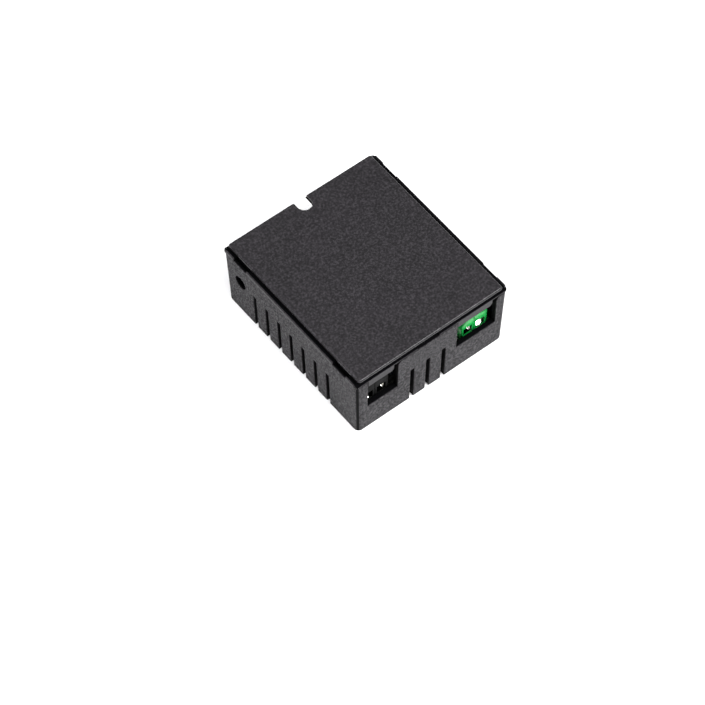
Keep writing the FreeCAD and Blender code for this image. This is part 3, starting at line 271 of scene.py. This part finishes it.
# Solder: bright, slightly dimpled where it froze
solder = plated("reflowed_solder", "#BFC1C2", "#D6D7D7", (0.18, 0.34), streak_mm=0.35, relief_mm=0.012)
# Deep-drawn aluminium: fine lines along the draw
can_alu = plated("drawn_aluminium", "#B4B7BA", "#CBCDCF", (0.28, 0.42), streak=(1, 0.08, 1), streak_mm=0.12)
# Punched aluminium grille, duller
mesh_alu = plated("grille_aluminium", "#85888B", "#9DA0A3", (0.38, 0.50))
# Tin-plated drawn steel of the crystal and the transformer can
drawn_steel = plated("tinned_drawn_steel", "#B5B5B2", "#CACAC7", (0.20, 0.34), streak=(1, 1, 0.1),
                     streak_mm=0.15)
# Moulded nitrile rubber: soft, dusty black
rubber = moulded("black_nitrile_rubber", "#161617", "#202021", (0.70, 0.86), 1.52, 2.0, 0.2, 0.01)
# Glass-filled polyamide, black: slightly silky
black_pa = moulded("black_polyamide", "#121213", "#1A1A1B", (0.34, 0.48), relief_mm=0.006)
# The same black polyamide, dull and painted darker: painted shade for the power terminal's housing, which
# stands in shade behind its window
shaded_black_pa = moulded("black_polyamide_painted_shade", "#060606", "#0A0A0A", (0.78, 0.90), 1.32, relief_mm=0.01)
# Unfilled polyamide, terminal green: bright, waxy
green_pa = moulded("green_polyamide", "#0F7F33", "#1B9A46", (0.20, 0.30), drift_mm=2.0, relief_mm=0.003)
# Epoxy moulding compound: grey-black, eggshell
chip_epoxy = moulded("epoxy_moulding_compound", "#1B1B1C", "#262627", (0.50, 0.62), 1.55, 0.8, 0.12, 0.008)
# Sintered ferrite: dull charcoal
ferrite = moulded("sintered_ferrite", "#2C2A2A", "#363333", (0.60, 0.75), 1.6, 0.8, 0.15, 0.012)
# Fired chip ceramic: matte tan
ceramic = moulded("fired_chip_ceramic", "#8C6A45", "#A07C54", (0.50, 0.62), 1.6, 0.5, 0.1, 0.006)
# Water-clear epoxy lamp
lens = moulded("clear_epoxy_lamp", "#C9D2C6", "#DCE4D8", (0.08, 0.16), 1.55, 0.8, 0.3, 0.002)
# Trimmer: blue moulded body, white rotor
blue_pbt = moulded("blue_pbt", "#123C8C", "#184A9E", (0.32, 0.44), 1.54, 1.0)
white_pbt = moulded("white_pbt", "#D6D5CF", "#E4E3DD", (0.35, 0.48), 1.54, 1.0)
# Shrunk sleeves, one for each capacitor so that each stripe lies on its own side
sleeves = {name: shrunk_sleeve(name + "_shrunk_sleeve", middle(name), half_width(name))
           for name in ("input_capacitor", "reservoir_capacitor")}

FINISH_OF_SLOT = {
    "case_plastic": case_abs, "circuit_board": board_mask, "zinc_plated_steel": zinc,
    "nickel_plated_steel": nickel, "tinned_brass": tin_clamp, "tinned_metal": tin_lead,
    "spun_aluminium": can_alu, "sensor_mesh": mesh_alu, "black_rubber": rubber,
    "sensor_base_plastic": black_pa, "black_polyamide": black_pa, "green_polyamide": green_pa,
    "chip_compound": chip_epoxy, "drawn_steel": drawn_steel, "ferrite": ferrite,
    "capacitor_sleeve": sleeves["input_capacitor"], "chip_ceramic": ceramic, "lamp_lens": lens,
    "trimmer_blue": blue_pbt, "trimmer_white": white_pbt,
}


def finish_of(part):
    if part["node"] == "lid":
        return lid_abs
    # the power terminal's housing takes the darker copy of black polyamide: painted shade
    if part["node"] == "power_terminal_housing":
        return shaded_black_pa
    if part["node"] in sleeves:
        return sleeves[part["node"]]
    return FINISH_OF_SLOT[part["material_slot"]]


FINISH = {part["node"]: finish_of(part) for part in frame["record"]["subparts"]}
BODY = {name: body for body, names in frame["record"]["behaviour"]["bodies"].items() for name in names}
for name, mat in FINISH.items():
    data = frame["nodes"][name].data
    data.materials.clear()
    data.materials.append(mat)


# ---------------------------------------------------------------------------
# Pieces
# ---------------------------------------------------------------------------
def piece(name, bm, mat, body, smooth=False):
    """Turns a bmesh into a named piece that rides on a body."""
    data = bpy.data.meshes.new(name)
    bm.to_mesh(data)
    bm.free()
    data.materials.append(mat)
    data.polygons.foreach_set("use_smooth", [smooth] * len(data.polygons))
    made = bpy.data.objects.new(name, data)
    bpy.context.collection.objects.link(made)
    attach(made, body)
    return made


FLAT_ANGLE = math.radians(0.6)   # faces that turn less than this are one face
SLIVER_ANGLE = math.radians(25)  # a corner narrower than this would spike if it were rounded
SHARP_ANGLE = math.radians(40)   # edges that turn more than this are rounded
ROUND_SEGMENTS = 2


def merged_mesh(name):
    """Bmesh copy of a CAD node with its loose triangles joined."""
    bm = bmesh.new()
    bm.from_mesh(frame["nodes"][name].data)
    bmesh.ops.remove_doubles(bm, verts=bm.verts, dist=MERGE)
    return bm


def soften(name, width_mm):
    """Stands for a CAD node with its sharp moulded or bent edges rounded, so that they catch light."""
    bm = merged_mesh(name)
    bmesh.ops.dissolve_limit(bm, angle_limit=FLAT_ANGLE, verts=bm.verts, edges=bm.edges)
    weight = bm.edges.layers.float.new("bevel_weight_edge")
    for line in bm.edges:
        sliver = any(loop.calc_angle() < SLIVER_ANGLE for vert in line.verts for loop in vert.link_loops)
        line[weight] = float(line.calc_face_angle(0) > SHARP_ANGLE and not sliver)
    made = piece(name + "_softened", bm, FINISH[name], BODY[name], smooth=True)
    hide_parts(name)
    edge = made.modifiers.new("rounded edges", "BEVEL")
    edge.width = width_mm * MM
    edge.segments = ROUND_SEGMENTS
    edge.limit_method = "WEIGHT"
    edge.use_clamp_overlap = False
    edge.harden_normals = False
    flat = made.modifiers.new("flat faces stay flat", "WEIGHTED_NORMAL")
    flat.keep_sharp = True


CAGES = [name for name in frame["nodes"] if "_clamp_cage_" in name]
ROUNDED_MM = {"lid": 0.16, "base_shell": 0.16,
              "power_terminal_housing": 0.14, "signal_terminal_housing": 0.14}
ROUNDED_MM.update({name: 0.1 for name in CAGES + ["header_block", "push_switch", "trimmer_body"]})
for name, width_mm in ROUNDED_MM.items():
    soften(name, width_mm)


def islands(name):
    """Lowest and highest corner of each separate solid in a node."""
    bm = merged_mesh(name)
    left = set(bm.verts)
    found = []
    while left:
        open_ends = [left.pop()]
        own = list(open_ends)
        while open_ends:
            for edge in open_ends.pop().link_edges:
                for vert in edge.verts:
                    if vert in left:
                        left.remove(vert)
                        open_ends.append(vert)
                        own.append(vert)
        low = Vector([min(v.co[i] for v in own) for i in range(3)])
        high = Vector([max(v.co[i] for v in own) for i in range(3)])
        found.append((low, high))
    bm.free()
    return sorted(found, key=lambda box: tuple(box[0]))


def round_edges(bm, edges, width):
    bmesh.ops.bevel(bm, geom=edges, offset=width, segments=ROUND_SEGMENTS, profile=0.5, affect="EDGES",
                    material=-1)


def add_disc(bm, bottom, top, thick, place, segments):
    """Closed round disc or cone about its own upright axis, put in its place by a matrix."""
    bmesh.ops.create_cone(bm, cap_ends=True, segments=segments, radius1=bottom, radius2=top, depth=thick,
                          matrix=place)


def sharp_edges(bm, angle):
    """Edges where the surface turns by more than that angle, in radians."""
    return [e for e in bm.edges if e.calc_face_angle(0) > angle]


def add_block(bm, low, high, edge=0.0):
    """Block between two corners, with its edges rounded by edge."""
    made = bmesh.ops.create_cube(bm, size=1.0)["verts"]
    bmesh.ops.scale(bm, vec=Vector(high) - Vector(low), verts=made)
    bmesh.ops.translate(bm, vec=(Vector(high) + Vector(low)) / 2, verts=made)
    if edge:
        lines = list({e for v in made for e in v.link_edges})
        round_edges(bm, lines, edge)


BOARD_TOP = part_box("main_board")[1][2]
LAND_MARGIN = 0.14 * MM          # land past the foot that stands on it
LAND_OVER = 0.035 * MM           # copper and solder above the board
LAND_UNDER = 0.02 * MM           # and sunk into it


def add_lands():
    """Tinned copper lands under the chip leads and the chip parts."""
    bm = bmesh.new()
    grow = Vector((LAND_MARGIN, LAND_MARGIN, 0))
    for name in ("controller_leads", "amplifier_leads", "chip_capacitors", "chip_resistors"):
        for low, high in islands(name):
            foot = Vector((high.x, high.y, BOARD_TOP + LAND_OVER))
            add_block(bm, Vector((low.x, low.y, BOARD_TOP - LAND_UNDER)) - grow, foot + grow)
    piece("board_lands", bm, solder, "case")


END_LONG = 0.42 * MM             # end cap along the chip
END_SKIN = 0.025 * MM            # its thickness
END_ROUND = 0.04 * MM


def add_chip_ends():
    """Tinned end caps on the chip capacitors and resistors."""
    bm = bmesh.new()
    out = Vector((END_SKIN, END_SKIN, END_SKIN))
    for name in ("chip_capacitors", "chip_resistors"):
        for low, high in islands(name):
            add_block(bm, low - out, Vector((high.x, low.y + END_LONG, high.z)) + out, END_ROUND)
            add_block(bm, Vector((low.x, high.y - END_LONG, low.z)) - out, high + out, END_ROUND)
    piece("chip_end_caps", bm, solder, "case")


JOINT_FOOT_R = 0.95 * MM         # solder cone at the board
JOINT_TIP_R = 0.45 * MM          # and round the pin
JOINT_HIGH = 0.9 * MM            # on the transducer pins
POST_JOINT_HIGH = 0.6 * MM       # on the header posts
JOINT_ROUND = 0.1 * MM


def add_solder_joints():
    """Solder cones on the carrier board: on the transducer pins in front, on the header posts behind."""
    bm = bmesh.new()
    front, back = (corner[1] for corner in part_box("carrier_board"))
    quarter = Matrix.Rotation(math.radians(90), 4, "X")
    for name in ("transmitter_pins", "receiver_pins", "header_pins"):
        for low, high in islands(name):
            x, z = (low.x + high.x) / 2, high.z - (high.x - low.x) / 2
            if name == "header_pins":
                tall = POST_JOINT_HIGH
                at = Matrix.Translation((x, back + tall / 2, z)) @ quarter.inverted()
            else:
                tall = JOINT_HIGH
                at = Matrix.Translation((x, front - tall / 2, z)) @ quarter
            add_disc(bm, JOINT_FOOT_R, JOINT_TIP_R, tall, at, 20)
    round_edges(bm, sharp_edges(bm, 0.6), JOINT_ROUND)
    piece("solder_joints", bm, solder, "case", smooth=True)


TOP_SHARE = 0.8                  # bare top's radius, as a share of the capacitor's
TOP_THICK = 0.12 * MM
TOP_LIFT = 0.02 * MM             # its middle above the sleeve's end
TOP_ROUND = 0.05 * MM
SCORE_SHARE = 1.35               # score line's length, as a share of the radius
SCORE_WIDE = 0.16 * MM
SCORE_THICK = 0.03 * MM
SCORE_LIFT = 0.085 * MM


def add_capacitor_tops():
    """Bare aluminium tops with the crossed score lines that let a failed capacitor vent."""
    for name in sleeves:
        centre, r = middle(name), half_width(name)
        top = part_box(name)[1][2]
        bm = bmesh.new()
        lift = Matrix.Translation((centre.x, centre.y, top + TOP_LIFT))
        add_disc(bm, TOP_SHARE * r, TOP_SHARE * r, TOP_THICK, lift, 48)
        rim = [e for e in bm.edges if min(v.co.z for v in e.verts) > top + TOP_LIFT]
        round_edges(bm, rim, TOP_ROUND)
        piece(name + "_top", bm, can_alu, "case")
        bm = bmesh.new()
        for turn in (45, 135):
            line = bmesh.ops.create_cube(bm, size=1.0)["verts"]
            bmesh.ops.scale(bm, vec=(SCORE_SHARE * r, SCORE_WIDE, SCORE_THICK), verts=line)
            about_z = Matrix.Rotation(math.radians(turn), 3, "Z")
            bmesh.ops.rotate(bm, cent=(0, 0, 0), matrix=about_z, verts=line)
            bmesh.ops.translate(bm, vec=(centre.x, centre.y, top + SCORE_LIFT), verts=line)
        piece(name + "_vent_score", bm, drawn_steel, "case")


MARK_INSET = 0.95 * MM           # mark to the chip's sides
MARK_FOOT_R = 0.42 * MM
MARK_TOP_R = 0.36 * MM
MARK_HIGH = 0.05 * MM


def add_chip_marks():
    """The round mark by the first lead of each chip, raised a little so that the light picks it out."""
    bm = bmesh.new()
    for name in ("controller_chip", "amplifier_chip"):
        low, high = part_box(name)
        at = Matrix.Translation((low[0] + MARK_INSET, low[1] + MARK_INSET, high[2]))
        ring = bmesh.ops.create_cone(bm, cap_ends=False, segments=24, radius1=MARK_FOOT_R,
                                     radius2=MARK_TOP_R, depth=MARK_HIGH, matrix=at)["verts"]
        rim = list({e for v in ring for e in v.link_edges if e.is_boundary})
        upper = [e for e in rim if min(v.co.z for v in e.verts) > high[2]]
        bmesh.ops.contextual_create(bm, geom=upper)
    piece("chip_first_lead_marks", bm, black_pa, "case")


PAD_R = 1.4 * MM                 # half the pad's width
PAD_SQUASH = 0.62                # its height, as a share of its width
PAD_THICK = 0.4 * MM
PAD_TILT = math.radians(33)      # slope of the jaw
PAD_BEHIND = 0.72 * MM           # pad's middle behind the cage's front
PAD_UP = 1.1 * MM                # and above its bottom
PAD_ROUND = 0.08 * MM


def add_jaw_pads():
    """Pressed oval pad on the sloping front of each clamp's lower jaw, over which the wire slides in."""
    squash = Matrix.Diagonal((1, PAD_SQUASH, 1, 1))
    for name in CAGES:
        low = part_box(name)[0]
        bm = bmesh.new()
        at = Matrix.Translation((middle(name).x, low[1] + PAD_BEHIND, low[2] + PAD_UP))
        add_disc(bm, PAD_R, PAD_R, PAD_THICK, at @ Matrix.Rotation(PAD_TILT, 4, "X") @ squash, 40)
        round_edges(bm, sharp_edges(bm, 1.0), PAD_ROUND)
        piece(name + "_jaw_pad", bm, tin_clamp, BODY[name])


COVER_GAP = 0.35 * MM            # cover's opening round the button
COVER_OFF = 0.08 * MM            # cover in front of the switch body
COVER_INSET = 0.3 * MM           # cover's edge inside the body's
COVER_THICK = 0.12 * MM


def add_switch_cover():
    """Tinned steel cover of the push switch: a plate with a round opening for the button."""
    low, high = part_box("push_switch")
    button_low, button_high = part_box("push_button")
    bm = bmesh.new()
    opening = (button_high[2] - button_low[2]) / 2 + COVER_GAP
    bmesh.ops.create_circle(bm, segments=48, radius=opening)
    outer = bmesh.ops.extrude_edge_only(bm, edges=bm.edges[:])["geom"]
    # the outer ring is drawn out to the sides of a rectangle
    reach = (high[2] - low[2]) / 2 - COVER_INSET
    wide = (high[1] - low[1]) / 2 - COVER_INSET
    far = [v for v in outer if isinstance(v, bmesh.types.BMVert)]
    for v in far:
        k = min(wide / max(abs(v.co.x), 1e-9), reach / max(abs(v.co.y), 1e-9))
        v.co = v.co * k
    at = Matrix.Translation((low[0] - COVER_OFF, middle("push_switch").y, middle("push_button").z))
    face_side = Matrix.Rotation(math.radians(90), 4, "Y") @ Matrix.Rotation(math.radians(90), 4, "Z")
    bmesh.ops.transform(bm, matrix=at @ face_side, verts=bm.verts)
    bmesh.ops.solidify(bm, geom=bm.faces, thickness=COVER_THICK)
    bmesh.ops.recalc_face_normals(bm, faces=bm.faces)
    piece("switch_cover", bm, drawn_steel, "case")


add_lands()
add_chip_ends()
add_solder_joints()
add_capacitor_tops()
add_chip_marks()
add_jaw_pads()
add_switch_cover()


# ---------------------------------------------------------------------------
# Camera: a long lens from the front left, looking well down
# ---------------------------------------------------------------------------
AZIMUTH = math.radians(-37.93)
ELEVATION = math.radians(56.03)
ROLL = math.radians(-0.41)
DISTANCE = 1035.3 * MM
LENS = 166.83                    # on a 36 mm sensor
AIM_RIGHT = 3.93 * MM            # the object stands this far right of the lens axis
AIM_UP = 11.44 * MM              # and this far above it


def direction(azimuth, elevation):
    """Unit vector from the object; azimuth 0 is in front of it, and both angles are in radians."""
    flat = math.cos(elevation)
    return Vector((math.sin(azimuth) * flat, -math.cos(azimuth) * flat, math.sin(elevation)))


def set_camera():
    back = direction(AZIMUTH, ELEVATION)
    right = (-back).cross(Vector((0, 0, 1))).normalized()
    up = right.cross(-back)
    turned = right * math.cos(ROLL) + up * math.sin(ROLL)
    upright = up * math.cos(ROLL) - right * math.sin(ROLL)
    data = bpy.data.cameras.new("camera")
    data.lens = LENS
    data.sensor_width = 36
    data.clip_start, data.clip_end = 0.05, 20
    cam = bpy.data.objects.new("camera", data)
    bpy.context.collection.objects.link(cam)
    cam.matrix_world = Matrix((turned, upright, back)).transposed().to_4x4()
    cam.location = back * DISTANCE - turned * AIM_RIGHT - upright * AIM_UP
    bpy.context.scene.camera = cam


# ---------------------------------------------------------------------------
# Floor and studio light
# ---------------------------------------------------------------------------
FLOOR_HALF = 2.4


def add_floor():
    bm = bmesh.new()
    bmesh.ops.create_grid(bm, x_segments=1, y_segments=1, size=FLOOR_HALF)
    data = bpy.data.meshes.new("floor")
    bm.to_mesh(data)
    bm.free()
    paper = close(new_material("matte_white_sweep")[0],
                  {"Base Color": colour("#F4F4F5"), "Roughness": 0.9, "Specular IOR Level": 0.1})
    data.materials.append(paper)
    floor = bpy.data.objects.new("floor", data)
    bpy.context.collection.objects.link(floor)


def softbox(name, azimuth, elevation, distance, wide, high, power):
    """White area light aimed at the object: angles in degrees, sizes in metres, power in watts."""
    back = direction(math.radians(azimuth), math.radians(elevation))
    data = bpy.data.lights.new(name, "AREA")
    data.shape = "RECTANGLE"
    data.size, data.size_y = wide, high
    data.energy = power
    lamp = bpy.data.objects.new(name, data)
    bpy.context.collection.objects.link(lamp)
    lamp.location = back * distance
    lamp.rotation_mode = "QUATERNION"
    lamp.rotation_quaternion = back.to_track_quat("Z", "Y")


def add_light():
    """A white room, dim as a light and white where it is looked at, with three softboxes."""
    world = bpy.data.worlds.new("studio")
    world.use_nodes = True
    tree = world.node_tree
    tree.nodes.clear()
    path = node(tree, "ShaderNodeLightPath")
    level = node(tree, "ShaderNodeMapRange", {"Value": path, "To Min": 0.42, "To Max": 1.0})
    shade = node(tree, "ShaderNodeBackground", {"Color": colour("#FFFFFF"), "Strength": level})
    node(tree, "ShaderNodeOutputWorld", {"Surface": shade})
    bpy.context.scene.world = world
    softbox("left_overhead", -95, 58, 1.2, 1.2, 0.9, 11)
    softbox("front_overhead", -20, 66, 1.2, 1.0, 0.8, 9)
    softbox("front_right", 28, 44, 1.1, 0.8, 0.6, 18)
    view = bpy.context.scene.view_settings
    view.view_transform = "Standard"
    view.look = "None"


set_camera()
add_floor()
add_light()
